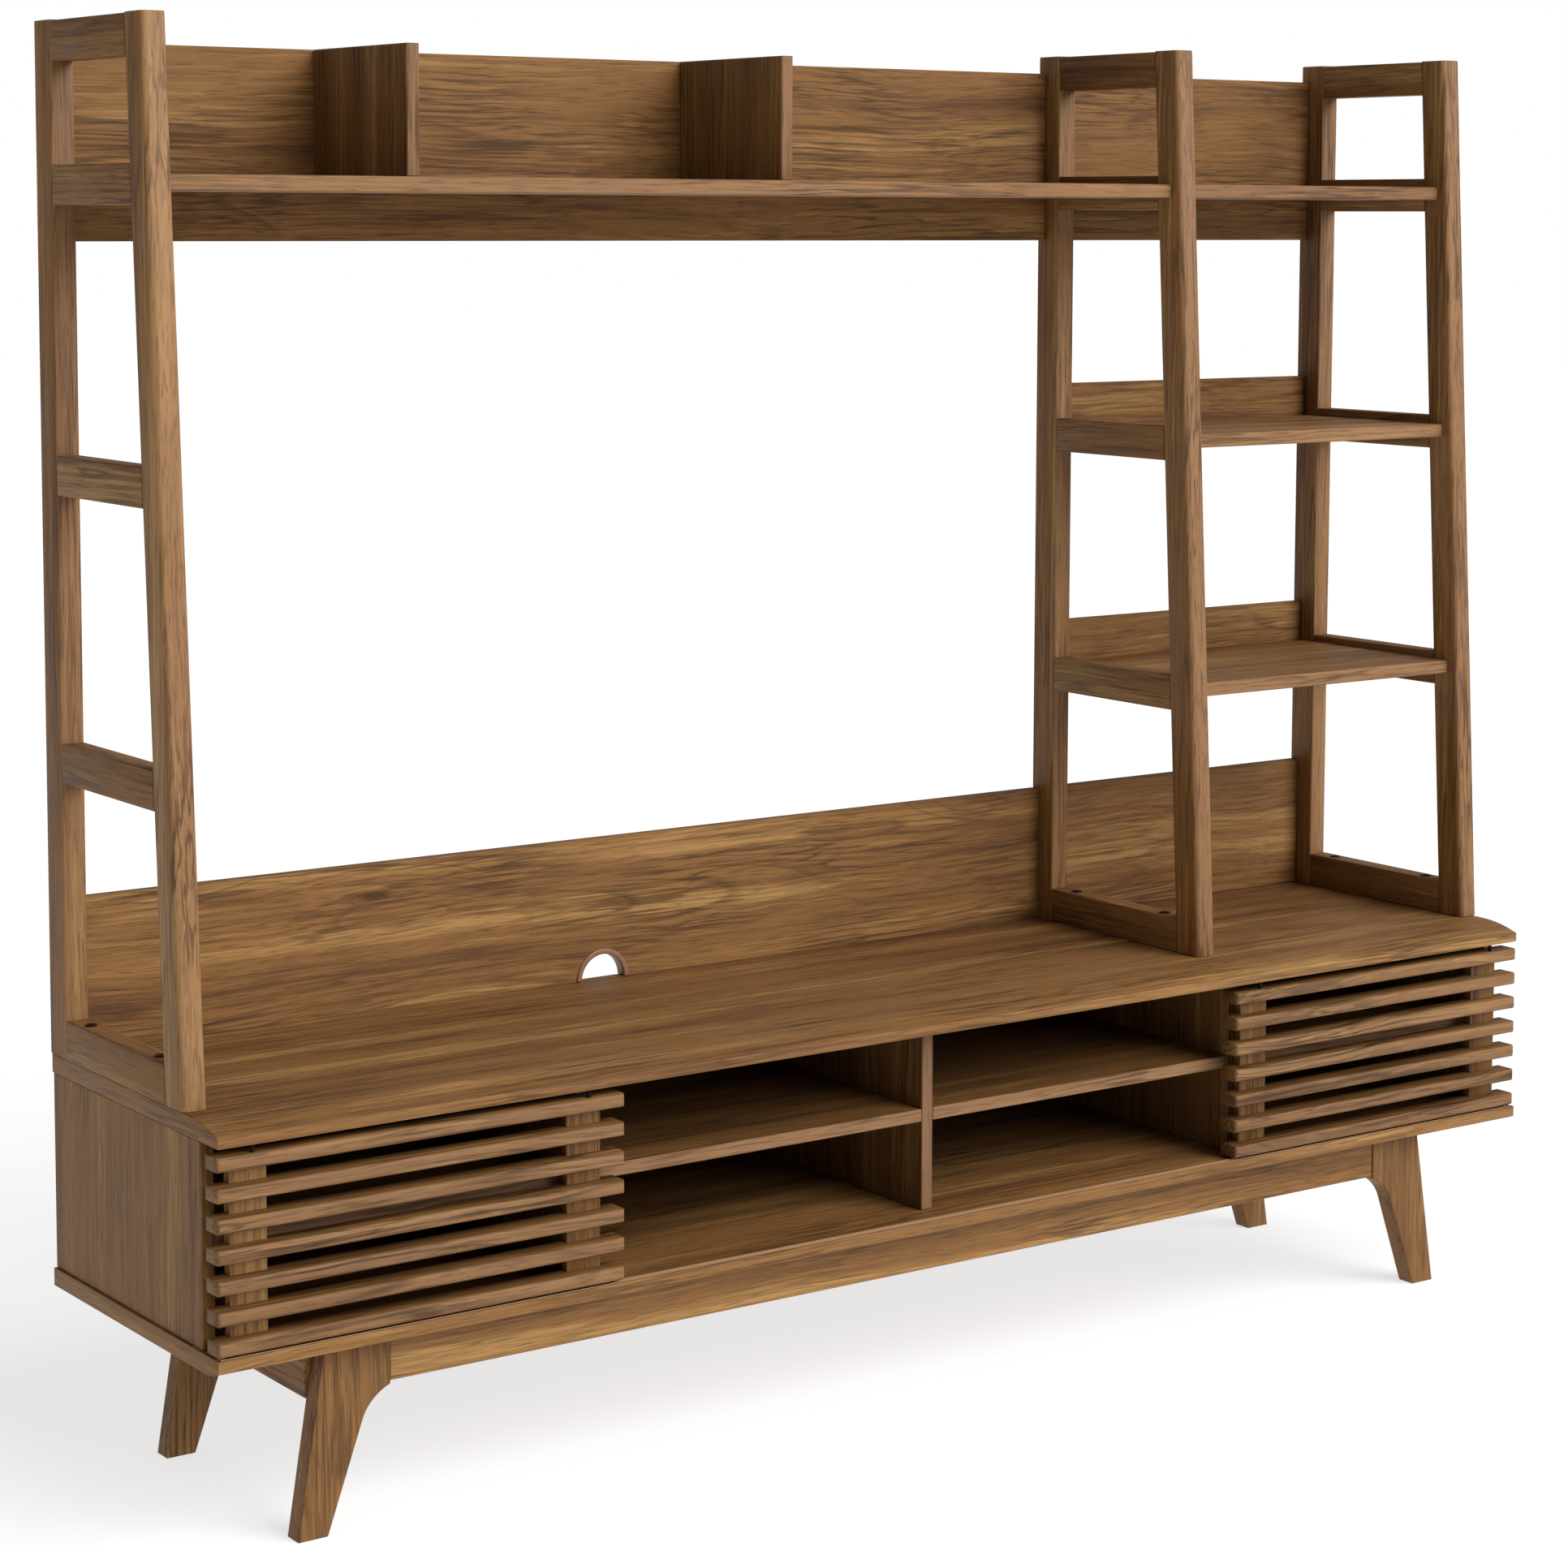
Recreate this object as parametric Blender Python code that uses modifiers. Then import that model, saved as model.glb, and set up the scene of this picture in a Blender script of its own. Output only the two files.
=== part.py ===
"""Media cabinet: a low bench with two sliding slatted doors and an open shelf unit on three ladders.

Metres. +X runs along the width, -Y is the front and +Z is up. The origin is on the floor, under the
middle of the cabinet. Depths are counted from the front edge of the boards, widths from the left end.
"""
import math

import bmesh
import bpy
from mathutils import Matrix

# Overall size
WIDTH = 1.800
DEPTH = 0.389
HEIGHT = 1.526

GAP = 0.0003          # left between pieces that touch
EASE = 0.001          # eased edge of every board
GRIP_EASE = 0.002     # softer edge of legs and slats
CURVE_STEPS = 8       # flats in a drawn curve
PIN_SIDES = 16
HOLE_SIDES = 24
CABLE_HOLE_SIDES = 48
RING_STEPS = 20

# Case: two long boards with panels between them
BOTTOM_Z = 0.196
BOTTOM_THICK = 0.019
BOTTOM_LIP = 0.0125       # thickness left at the front edge
BOTTOM_CURVE = 0.030      # depth over which the underside rises to that edge
CASE_CLEAR = 0.211        # height between the boards
TOP_THICK = 0.021
TOP_LIP = 0.0106
TOP_CURVE = 0.065
TOP_INSET = 0.0015        # top board ends, in from the bottom board's
PANEL = 0.015
SIDE_INSET = 0.003
PANEL_FRONT = 0.041       # front edges of all the uprights
PARTITION_X = 0.434       # outer face of a partition, from its own end
BACK_THICK = 0.006
BACK_INSET = 0.003        # back panel, in from the rear
CASE_SHELF_Z = 0.317      # underside of the fixed shelves
CASE_SHELF_THICK = 0.0145

# Leg frame
LEG_FRONT = 0.035         # front face of the front legs
LEG_REAR = 0.028          # rear face of the rear legs, from the rear
LEG_DEEP = 0.024
LEG_FOOT = (0.1025, 0.1365)      # the foot's outer and inner edges, from the end
LEG_TOP_OUT = 0.134
LEG_SEAM = 0.2095         # where the leg's head meets the apron
LEG_ARC_R = 0.050
LEG_ARC_X = 0.2248        # centre of the inner curve
APRON_Z = 0.148
APRON_THICK = 0.020
APRON_SETBACK = 0.0015
RAIL_Z = 0.139            # underside of the side rails
RAIL_X = 0.124
RAIL_THICK = 0.020

# Sliding doors
DOOR_X = 0.001
DOOR_WIDE = 0.470
DOOR_Z = 0.2172
SLATS = 7
SLAT_HIGH = 0.015
SLAT_DEEP = 0.027
SLAT_PITCH = 0.0308
STILE_IN = 0.0205         # stile, in from the door's end
STILE_WIDE = 0.0415
STILE_Y = (0.017, 0.0285)
STILE_SHORT = 0.004       # stile, in from the door's top and bottom
PIN_R = 0.00225
PIN_RISE = 0.0125

# Door track: a channel let into each board
TRACK_Y = 0.0025
TRACK_WIDE = 0.008
TRACK_HIGH = 0.006
TRACK_WALL = 0.001
TRACK_PROUD = 0.0007      # how far its lips stand out of the board
TRACK_INSET = 0.004       # its ends, in from the board's
RUNNER_WIDE = 0.005
RUNNER_IN = 0.012         # runner, in from the door's ends

# Ladders
TOP_Z = BOTTOM_Z + BOTTOM_THICK + CASE_CLEAR + TOP_THICK
LADDER_THICK = 0.026
MIDDLE_LADDER_X = 1.3305
POST_DEEP = 0.040
POST_FRONT = (0.072, 0.133)      # front face of the front posts, at the foot and at the head
POST_ROUND = (0.007, 0.003)      # front edges of a front post, left and right
POST_EASE = (0.0025, 0.0025)     # all other long edges of the posts
RAIL_HIGH = 0.041
RUNG_Z = {"shelf_rail": 1.3376, "upper_rung": 1.0395, "lower_rung": 0.7400}
TOP_RAIL_DROP = 0.001
BOLT_HOLE_R = 0.006
BOLT_HOLE_DEEP = 0.022
BOLT_FROM_POST = 0.034

# Shelves, back panels and dividers between the ladders
SHELF_TOPS = {"top": 1.3681, "middle": 1.0707, "lower": 0.7726}
SHELF_THICK = 0.0162
SHELF_SETBACK = 0.014     # shelf's front edge, behind the posts' front faces
BACK_BOARD = 0.0144
UPPER_PANEL_Z = (1.3003, 1.5053)
LOWER_PANEL_TOP = 0.612
UPSTAND_RISE = 0.051
DIVIDER_LEFT = (0.314, 0.7865)
DIVIDER_FRONT = 0.170
CABLE_HOLE_X = 0.6798
CABLE_HOLE_R = 0.0347
CABLE_HOLE_SLACK = 0.0009
GROMMET_WALL = 0.0057
GROMMET_PROUD = 0.002

# Colours of the finished pieces, linear RGB
FACE_WOOD = (0.245, 0.140, 0.062)
EDGE_WOOD = (0.400, 0.235, 0.120)
DARK_WOOD = (0.090, 0.048, 0.022)
METAL = (0.560, 0.520, 0.450)
NYLON = (0.030, 0.028, 0.026)

QUARTER = math.pi / 2
UPRIGHT = (0.0, 0.0, 0.0)                # outline in XY, thickness along Z
INTO_DEPTH = (QUARTER, 0.0, 0.0)         # outline in XZ, thickness along Y
ALONG_WIDTH = (QUARTER, 0.0, QUARTER)    # outline in YZ, thickness along X


def from_left(x):
    """World X of a distance from the left end."""
    return x - WIDTH / 2


def from_front(y):
    """World Y of a depth behind the boards' front edges."""
    return y - DEPTH / 2


def mirrored(x0, x1, right):
    """A span from the left end, or the same span from the right end."""
    return (WIDTH - x1, WIDTH - x0) if right else (x0, x1)


def clear_scene():
    for obj in list(bpy.data.objects):
        bpy.data.objects.remove(obj, do_unlink=True)


def new_collection(name):
    collection = bpy.data.collections.new(name)
    bpy.context.scene.collection.children.link(collection)
    return collection


def file_in(obj, collection):
    for old in list(obj.users_collection):
        old.objects.unlink(obj)
    collection.objects.link(obj)


def new_material(name, colour, roughness, metallic=0.0):
    material = bpy.data.materials.new(name)
    material.use_nodes = True
    shader = material.node_tree.nodes["Principled BSDF"]
    shader.inputs["Base Color"].default_value = (*colour, 1.0)
    shader.inputs["Roughness"].default_value = roughness
    shader.inputs["Metallic"].default_value = metallic
    return material


def ease_edges(obj, width, segments=1):
    """Round or chamfer the edges of a finished shape."""
    if width > 0:
        bevel = obj.modifiers.new("eased_edges", "BEVEL")
        bevel.width = width
        bevel.segments = segments
        bevel.limit_method = "ANGLE"
        bevel.angle_limit = math.radians(40)


def block(name, x_span, y_span, z_span):
    """A box between three spans: widths from the left, depths from the front, heights from the floor."""
    centre = (from_left(sum(x_span) / 2), from_front(sum(y_span) / 2), sum(z_span) / 2)
    bpy.ops.mesh.primitive_cube_add(size=1.0, location=centre)
    obj = bpy.context.object
    obj.name = name
    obj.scale = (x_span[1] - x_span[0], y_span[1] - y_span[0], z_span[1] - z_span[0])
    bpy.ops.object.transform_apply(location=False, rotation=False, scale=True)
    return obj


def rod(name, radius, length, centre, sides, rotation=UPRIGHT):
    """A closed cylinder, for pins and for cutting holes."""
    bpy.ops.mesh.primitive_cylinder_add(
        vertices=sides, radius=radius, depth=length, location=centre, rotation=rotation
    )
    obj = bpy.context.object
    obj.name = name
    return obj


def prism(name, outline, thickness, rotation, location):
    """A flat outline given a thickness, as a closed mesh."""
    curve = bpy.data.curves.new(name, "CURVE")
    curve.dimensions = "2D"
    curve.fill_mode = "BOTH"
    curve.extrude = thickness / 2
    spline = curve.splines.new("POLY")
    spline.points.add(len(outline) - 1)
    for point, (u, v) in zip(spline.points, outline):
        point.co = (u, v, 0.0, 1.0)
    spline.use_cyclic_u = True
    drawn = bpy.data.objects.new(name + "_outline", curve)
    bpy.context.scene.collection.objects.link(drawn)
    graph = bpy.context.evaluated_depsgraph_get()
    mesh = bpy.data.meshes.new_from_object(drawn.evaluated_get(graph))
    bpy.data.objects.remove(drawn, do_unlink=True)
    weld(mesh)
    obj = bpy.data.objects.new(name, mesh)
    obj.rotation_euler = rotation
    obj.location = location
    bpy.context.scene.collection.objects.link(obj)
    return obj


def weld(mesh):
    """Join the loose caps of a filled curve to its sides."""
    work = bmesh.new()
    work.from_mesh(mesh)
    bmesh.ops.remove_doubles(work, verts=work.verts, dist=1e-6)
    bmesh.ops.dissolve_limit(work, angle_limit=1e-4, verts=work.verts, edges=work.edges)
    bmesh.ops.recalc_face_normals(work, faces=work.faces)
    work.to_mesh(mesh)
    work.free()


def arc(centre, radius, start, end, steps):
    """Points on an arc, both ends included, angles in radians."""
    turn = (end - start) / steps
    return [
        (centre[0] + radius * math.cos(start + turn * i), centre[1] + radius * math.sin(start + turn * i))
        for i in range(steps + 1)
    ]


class Cabinet:
    """Files finished pieces and cutters in their collections, and gives each piece its material."""

    def __init__(self):
        self.pieces = new_collection("media_cabinet")
        self.cutters = new_collection("cutters")

    def add(self, obj, colour, roughness=0.45, metallic=0.0, ease=EASE, segments=1):
        ease_edges(obj, ease, segments)
        obj.data.materials.clear()
        obj.data.materials.append(new_material(obj.name + "_finish", colour, roughness, metallic))
        file_in(obj, self.pieces)
        return obj

    def modify(self, obj, tool, operation):
        """Cut a piece with a tool, or join the tool to it."""
        boolean = obj.modifiers.new(tool.name, "BOOLEAN")
        boolean.operation = operation
        boolean.solver = "EXACT"
        boolean.object = tool
        tool.hide_render = True
        tool.display_type = "WIRE"
        file_in(tool, self.cutters)

def front_post_y(z):
    """Depth of the front posts' leaning front face at a height."""
    share = (z - TOP_Z) / (HEIGHT - TOP_Z)
    return POST_FRONT[0] + share * (POST_FRONT[1] - POST_FRONT[0])


def lip_curve(length, drop, sign):
    """Half-depth outline points (depth, height) of a face that falls off towards the front edge."""
    radius = (length**2 + drop**2) / (2 * drop)
    reach = math.asin(length / radius)
    points = arc((length, -radius), radius, math.pi / 2, math.pi / 2 + reach, CURVE_STEPS)
    return [(y, sign * z) for y, z in points]


def long_board(cabinet, name, z_span, inset, lip, curve, curved_side):
    """A full-length board whose upper or lower face curves down to a thin front edge."""
    thick = z_span[1] - z_span[0]
    flat_z, curved_z = (z_span[0], z_span[1]) if curved_side == "top" else (z_span[1], z_span[0])
    sign = 1 if curved_side == "top" else -1
    falloff = [(y, curved_z + z) for y, z in lip_curve(curve, thick - lip, sign)]
    outline = falloff + [(0.0, flat_z), (DEPTH, flat_z), (DEPTH, curved_z)]
    outline = [(from_front(y), z) for y, z in outline]
    board = prism(name, outline, WIDTH - 2 * inset, ALONG_WIDTH, (0.0, 0.0, 0.0))
    deep = TRACK_HIGH - TRACK_PROUD + GAP
    groove = block(
        name + "_groove",
        (TRACK_INSET - GAP, WIDTH - TRACK_INSET + GAP),
        (TRACK_Y - GAP, TRACK_Y + TRACK_WIDE + GAP),
        sorted((flat_z - sign * EASE, flat_z + sign * deep)),
    )
    cabinet.modify(board, groove, "DIFFERENCE")
    return cabinet.add(board, FACE_WOOD, ease=0)


def build_case(cabinet):
    """Top and bottom boards, uprights, fixed shelves and back panel."""
    floor = BOTTOM_Z + BOTTOM_THICK
    roof = floor + CASE_CLEAR
    long_board(cabinet, "bottom_board", (BOTTOM_Z, floor), 0.0, BOTTOM_LIP, BOTTOM_CURVE, "bottom")
    long_board(cabinet, "top_board", (roof, TOP_Z), TOP_INSET, TOP_LIP, TOP_CURVE, "top")
    upright_z = (floor + GAP, roof - GAP)
    back_y = DEPTH - BACK_INSET - BACK_THICK
    for right, side in ((False, "left"), (True, "right")):
        outer = mirrored(SIDE_INSET, SIDE_INSET + PANEL, right)
        cabinet.add(block(side + "_side_panel", outer, (PANEL_FRONT, DEPTH), upright_z), FACE_WOOD)
        inner = mirrored(PARTITION_X, PARTITION_X + PANEL, right)
        partition_y = (PANEL_FRONT, back_y - GAP)
        cabinet.add(block(side + "_partition", inner, partition_y, upright_z), FACE_WOOD)
    middle = ((WIDTH - PANEL) / 2, (WIDTH + PANEL) / 2)
    cabinet.add(block("centre_divider", middle, (PANEL_FRONT, back_y - GAP), upright_z), FACE_WOOD)
    shelf_y = (PANEL_FRONT, back_y - GAP)
    shelf_z = (CASE_SHELF_Z, CASE_SHELF_Z + CASE_SHELF_THICK)
    for right, side in ((False, "left"), (True, "right")):
        door_bay = mirrored(SIDE_INSET + PANEL + GAP, PARTITION_X - GAP, right)
        open_bay = mirrored(PARTITION_X + PANEL + GAP, middle[0] - GAP, right)
        cabinet.add(block(side + "_door_bay_shelf", door_bay, shelf_y, shelf_z), EDGE_WOOD)
        cabinet.add(block(side + "_open_bay_shelf", open_bay, shelf_y, shelf_z), EDGE_WOOD)
    inside = (SIDE_INSET + PANEL + GAP, WIDTH - SIDE_INSET - PANEL - GAP)
    back = block("case_back_panel", inside, (back_y, back_y + BACK_THICK), upright_z)
    cabinet.add(back, DARK_WOOD, 0.6, ease=0)


def leg_outline():
    """A splayed leg seen from the front, widths from its own end: straight outside, curved inside."""
    foot_out, foot_in = LEG_FOOT
    slope = (LEG_TOP_OUT - foot_out) / BOTTOM_Z
    head = math.acos((LEG_SEAM - LEG_ARC_X) / LEG_ARC_R)
    curve = arc((LEG_ARC_X, APRON_Z - LEG_ARC_R), LEG_ARC_R, head, math.pi - inner_lean(), CURVE_STEPS)
    top = BOTTOM_Z - GAP
    return [(foot_in, 0.0), (foot_out, 0.0), (foot_out + slope * top, top), (LEG_SEAM, top)] + curve


def inner_lean():
    """Angle from upright of a line from the foot's inner edge that just touches the inner curve."""
    across = LEG_ARC_X - LEG_FOOT[1]
    up = APRON_Z - LEG_ARC_R
    return math.atan2(across, up) - math.asin(LEG_ARC_R / math.hypot(across, up))


def build_leg_frame(cabinet):
    """Four splayed legs, front and rear aprons and two side rails."""
    rows = {"front": LEG_FRONT, "rear": DEPTH - LEG_REAR - LEG_DEEP}
    outline = leg_outline()
    for right, side in ((False, "left"), (True, "right")):
        facing = -1 if right else 1
        edge = from_left(WIDTH if right else 0.0)
        shape = [(edge + facing * x, z) for x, z in outline]
        for row, y in rows.items():
            place = (0.0, from_front(y + LEG_DEEP / 2), 0.0)
            leg = prism(row + "_" + side + "_leg", shape, LEG_DEEP, INTO_DEPTH, place)
            cabinet.add(leg, FACE_WOOD, ease=GRIP_EASE, segments=2)
        rail_x = mirrored(RAIL_X, RAIL_X + RAIL_THICK, right)
        rail_y = (rows["front"] + LEG_DEEP + GAP, rows["rear"] - GAP)
        rail = block(side + "_side_rail", rail_x, rail_y, (RAIL_Z, BOTTOM_Z - GAP))
        cabinet.add(rail, FACE_WOOD)
    span = (LEG_SEAM + GAP, WIDTH - LEG_SEAM - GAP)
    for row, y in rows.items():
        apron_y = (y + APRON_SETBACK, y + APRON_SETBACK + APRON_THICK)
        cabinet.add(block(row + "_apron", span, apron_y, (APRON_Z, BOTTOM_Z - GAP)), FACE_WOOD)


def channel_outline(flip):
    """Section of a track: a thin channel that opens upwards, or downwards when flipped."""
    w, h, t = TRACK_WIDE, TRACK_HIGH, TRACK_WALL
    points = [(0, 0), (w, 0), (w, h), (w - t, h), (w - t, t), (t, t), (t, h), (0, h)]
    return [(y, -z if flip else z) for y, z in points]


def build_tracks(cabinet):
    """A channel in the bottom board and one in the underside of the top board."""
    floor = BOTTOM_Z + BOTTOM_THICK
    length = WIDTH - 2 * TRACK_INSET
    seats = {
        "lower_track": (False, floor + TRACK_PROUD - TRACK_HIGH),
        "upper_track": (True, floor + CASE_CLEAR - TRACK_PROUD + TRACK_HIGH),
    }
    for name, (flip, z) in seats.items():
        outline = channel_outline(flip)
        track = prism(name, outline, length, ALONG_WIDTH, (0.0, from_front(TRACK_Y), z))
        cabinet.add(track, METAL, 0.35, 1.0, ease=0)


def build_door(cabinet, side):
    """Seven slats glued over two stiles, guide pins in the top slat and a runner under the bottom one."""
    right = side == "right"
    x_span = mirrored(DOOR_X, DOOR_X + DOOR_WIDE, right)
    name = side + "_door"
    slats = []
    for row in range(SLATS):
        z = DOOR_Z + row * SLAT_PITCH
        slats.append(block(name + "_slat", x_span, (0.0, SLAT_DEEP), (z, z + SLAT_HIGH)))
        ease_edges(slats[-1], GRIP_EASE, 2)
    grille = slats[0]
    grille.name = name
    top = DOOR_Z + (SLATS - 1) * SLAT_PITCH + SLAT_HIGH
    stile_z = (DOOR_Z + STILE_SHORT, top - STILE_SHORT)
    pin_y = from_front(TRACK_Y + TRACK_WIDE / 2)
    for slat in slats[1:]:
        cabinet.modify(grille, slat, "UNION")
    for start in (x_span[0] + STILE_IN, x_span[1] - STILE_IN - STILE_WIDE):
        stile = block(name + "_stile", (start, start + STILE_WIDE), STILE_Y, stile_z)
        cabinet.modify(grille, stile, "UNION")
        centre = (from_left(start + STILE_WIDE / 2), pin_y, top)
        pin = rod(name + "_pin", PIN_R, 2 * PIN_RISE, centre, PIN_SIDES)
        cabinet.modify(grille, pin, "UNION")
    cabinet.add(grille, FACE_WOOD, ease=0)
    track_floor = BOTTOM_Z + BOTTOM_THICK + TRACK_PROUD - TRACK_HIGH + TRACK_WALL
    runner_y = TRACK_Y + (TRACK_WIDE - RUNNER_WIDE) / 2
    runner = block(
        name + "_runner",
        (x_span[0] + RUNNER_IN, x_span[1] - RUNNER_IN),
        (runner_y, runner_y + RUNNER_WIDE),
        (track_floor + GAP, DOOR_Z - GAP),
    )
    cabinet.add(runner, NYLON, 0.5, ease=0)


def post_outline(front_round):
    """Section of a post, widths from its left face and depths from its front face."""
    w, d, (left, right), ease = LADDER_THICK, POST_DEEP, front_round, POST_EASE[0]
    return (
        arc((left, left), left, 2 * QUARTER, 3 * QUARTER, CURVE_STEPS // 2)
        + arc((w - right, right), right, -QUARTER, 0.0, CURVE_STEPS // 2)
        + arc((w - ease, d - ease), ease, 0.0, QUARTER, 2)
        + arc((ease, d - ease), ease, QUARTER, 2 * QUARTER, 2)
    )


def build_post(cabinet, name, x, y, front_round, lean):
    """An upright post; lean is how far its head stands behind its foot."""
    height = HEIGHT - TOP_Z - GAP
    outline = post_outline(front_round)
    place = (from_left(x), from_front(y), TOP_Z + GAP)
    post = prism(name, outline, height, UPRIGHT, place)
    shift = Matrix.Translation((0.0, 0.0, height / 2))
    post.data.transform(Matrix.Shear("XY", 4, (0.0, lean / height)) @ shift)
    cabinet.add(post, FACE_WOOD, ease=0)


def build_rail(cabinet, name, x, z):
    """A crosspiece between a ladder's posts, its front end cut to the leaning post."""
    top = z + RAIL_HIGH
    rear = DEPTH - POST_DEEP - GAP
    outline = [
        (front_post_y(z) + POST_DEEP + GAP, z),
        (rear, z),
        (rear, top),
        (front_post_y(top) + POST_DEEP + GAP, top),
    ]
    outline = [(from_front(y), height) for y, height in outline]
    place = (from_left(x + LADDER_THICK / 2), 0.0, 0.0)
    return prism(name, outline, LADDER_THICK, ALONG_WIDTH, place)


def drill_bolt_holes(cabinet, rail, x):
    """Counterbores for the bolts that hold a ladder down on the top board."""
    top = TOP_Z + GAP + RAIL_HIGH
    front = front_post_y(top) + POST_DEEP + BOLT_FROM_POST
    rear = DEPTH - POST_DEEP - BOLT_FROM_POST
    for y in (front, rear):
        centre = (from_left(x + LADDER_THICK / 2), from_front(y), top)
        hole = rod(rail.name + "_hole", BOLT_HOLE_R, 2 * BOLT_HOLE_DEEP, centre, HOLE_SIDES)
        cabinet.modify(rail, hole, "DIFFERENCE")


def build_ladder(cabinet, side, x):
    """Two posts and five crosspieces."""
    lean = POST_FRONT[1] - POST_FRONT[0]
    build_post(cabinet, side + "_rear_post", x, DEPTH - POST_DEEP, POST_EASE, 0.0)
    build_post(cabinet, side + "_front_post", x, POST_FRONT[0], POST_ROUND, lean)
    heights = dict(RUNG_Z, top_rail=HEIGHT - TOP_RAIL_DROP - RAIL_HIGH, bottom_rail=TOP_Z + GAP)
    for kind, z in heights.items():
        rail = build_rail(cabinet, side + "_" + kind, x, z)
        if kind == "bottom_rail":
            drill_bolt_holes(cabinet, rail, x)
        cabinet.add(rail, FACE_WOOD, ease=0 if kind == "bottom_rail" else EASE)


def build_shelves(cabinet, bays):
    """The long top shelf, and three shelves in the narrow right bay with an upstand behind the lower two."""
    rear = DEPTH - BACK_BOARD
    for bay, x_span in bays.items():
        for level, top in SHELF_TOPS.items():
            if bay == "left" and level != "top":
                continue
            front = front_post_y(top) + SHELF_SETBACK
            shelf = block(bay + "_" + level + "_shelf", x_span, (front, rear - GAP), (top - SHELF_THICK, top))
            cabinet.add(shelf, EDGE_WOOD)
            if level != "top":
                upstand_z = (top - SHELF_THICK, top + UPSTAND_RISE)
                upstand = block(level + "_shelf_upstand", x_span, (rear, DEPTH), upstand_z)
                cabinet.add(upstand, FACE_WOOD)


def build_back_boards(cabinet, bays):
    """A back panel behind the top shelves and a low one on the bench, in each bay."""
    rear = (DEPTH - BACK_BOARD, DEPTH)
    for bay, x_span in bays.items():
        cabinet.add(block(bay + "_upper_back_panel", x_span, rear, UPPER_PANEL_Z), FACE_WOOD)
        lower = block(bay + "_lower_back_panel", x_span, rear, (TOP_Z + GAP, LOWER_PANEL_TOP))
        if bay == "left":
            centre = (from_left(CABLE_HOLE_X), from_front(DEPTH - BACK_BOARD / 2), TOP_Z)
            radius = CABLE_HOLE_R + CABLE_HOLE_SLACK
            hole = rod("cable_hole", radius, 2 * BACK_BOARD, centre, CABLE_HOLE_SIDES, INTO_DEPTH)
            cabinet.modify(lower, hole, "DIFFERENCE")
        cabinet.add(lower, FACE_WOOD, ease=0 if bay == "left" else EASE)


def build_grommet(cabinet):
    """Half-round trim ring that lines the cable hole."""
    outer = arc((0.0, GAP), CABLE_HOLE_R, 0.0, math.pi, RING_STEPS)
    inner = arc((0.0, GAP), CABLE_HOLE_R - GROMMET_WALL, math.pi, 0.0, RING_STEPS)
    depth = BACK_BOARD + GROMMET_PROUD
    place = (from_left(CABLE_HOLE_X), from_front(DEPTH - depth / 2), TOP_Z)
    ring = prism("cable_grommet", outer + inner, depth, INTO_DEPTH, place)
    cabinet.add(ring, DARK_WOOD, 0.4, ease=0)


def build_dividers(cabinet):
    """Upright dividers that part the long top shelf into three cubbies."""
    shelf = SHELF_TOPS["top"]
    for side, x in zip(("left", "right"), DIVIDER_LEFT):
        z_span = (shelf + GAP, UPPER_PANEL_Z[1])
        y_span = (DIVIDER_FRONT, DEPTH - BACK_BOARD - GAP)
        cabinet.add(block(side + "_cubby_divider", (x, x + PANEL), y_span, z_span), EDGE_WOOD)


def main():
    clear_scene()
    cabinet = Cabinet()
    build_leg_frame(cabinet)
    build_case(cabinet)
    build_tracks(cabinet)
    for side in ("left", "right"):
        build_door(cabinet, side)
    ladders = {"left_ladder": 0.0, "middle_ladder": MIDDLE_LADDER_X, "right_ladder": WIDTH - LADDER_THICK}
    for side, x in ladders.items():
        build_ladder(cabinet, side, x)
    bays = {
        "left": (LADDER_THICK + GAP, MIDDLE_LADDER_X - GAP),
        "right": (MIDDLE_LADDER_X + LADDER_THICK + GAP, WIDTH - LADDER_THICK - GAP),
    }
    build_shelves(cabinet, bays)
    build_back_boards(cabinet, bays)
    build_grommet(cabinet)
    build_dividers(cabinet)


main()
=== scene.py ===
import math

import bmesh
import bpy
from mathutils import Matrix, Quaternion, Vector


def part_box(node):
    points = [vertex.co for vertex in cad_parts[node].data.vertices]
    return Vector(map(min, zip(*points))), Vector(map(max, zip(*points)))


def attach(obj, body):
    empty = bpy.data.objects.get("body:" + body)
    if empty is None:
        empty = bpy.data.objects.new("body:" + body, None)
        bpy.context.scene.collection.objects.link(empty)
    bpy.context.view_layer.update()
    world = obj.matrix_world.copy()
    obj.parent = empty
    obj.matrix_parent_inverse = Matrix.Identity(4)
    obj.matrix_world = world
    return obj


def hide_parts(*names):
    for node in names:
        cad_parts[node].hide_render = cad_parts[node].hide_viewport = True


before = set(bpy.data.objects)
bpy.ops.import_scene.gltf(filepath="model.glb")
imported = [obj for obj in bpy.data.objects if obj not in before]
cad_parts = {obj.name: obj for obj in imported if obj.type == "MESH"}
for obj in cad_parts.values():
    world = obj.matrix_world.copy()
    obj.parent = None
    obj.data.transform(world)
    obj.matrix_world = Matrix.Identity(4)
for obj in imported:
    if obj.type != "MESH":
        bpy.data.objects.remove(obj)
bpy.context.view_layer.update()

bl_info = {
    "name": "Media Cabinet",
    "version": (1, 0, 0),
    "blender": (4, 5, 0),
    "location": "3D View > Sidebar > Cabinet",
    "description": "Slatted media cabinet with a ladder shelf unit, and its studio",
    "category": "Add Mesh",
}

LADDERS = ("left_ladder", "middle_ladder", "right_ladder")
RAILS = ("top_rail", "shelf_rail", "upper_rung", "lower_rung")
SIDES = ("left", "right")
MM = 0.001

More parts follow.
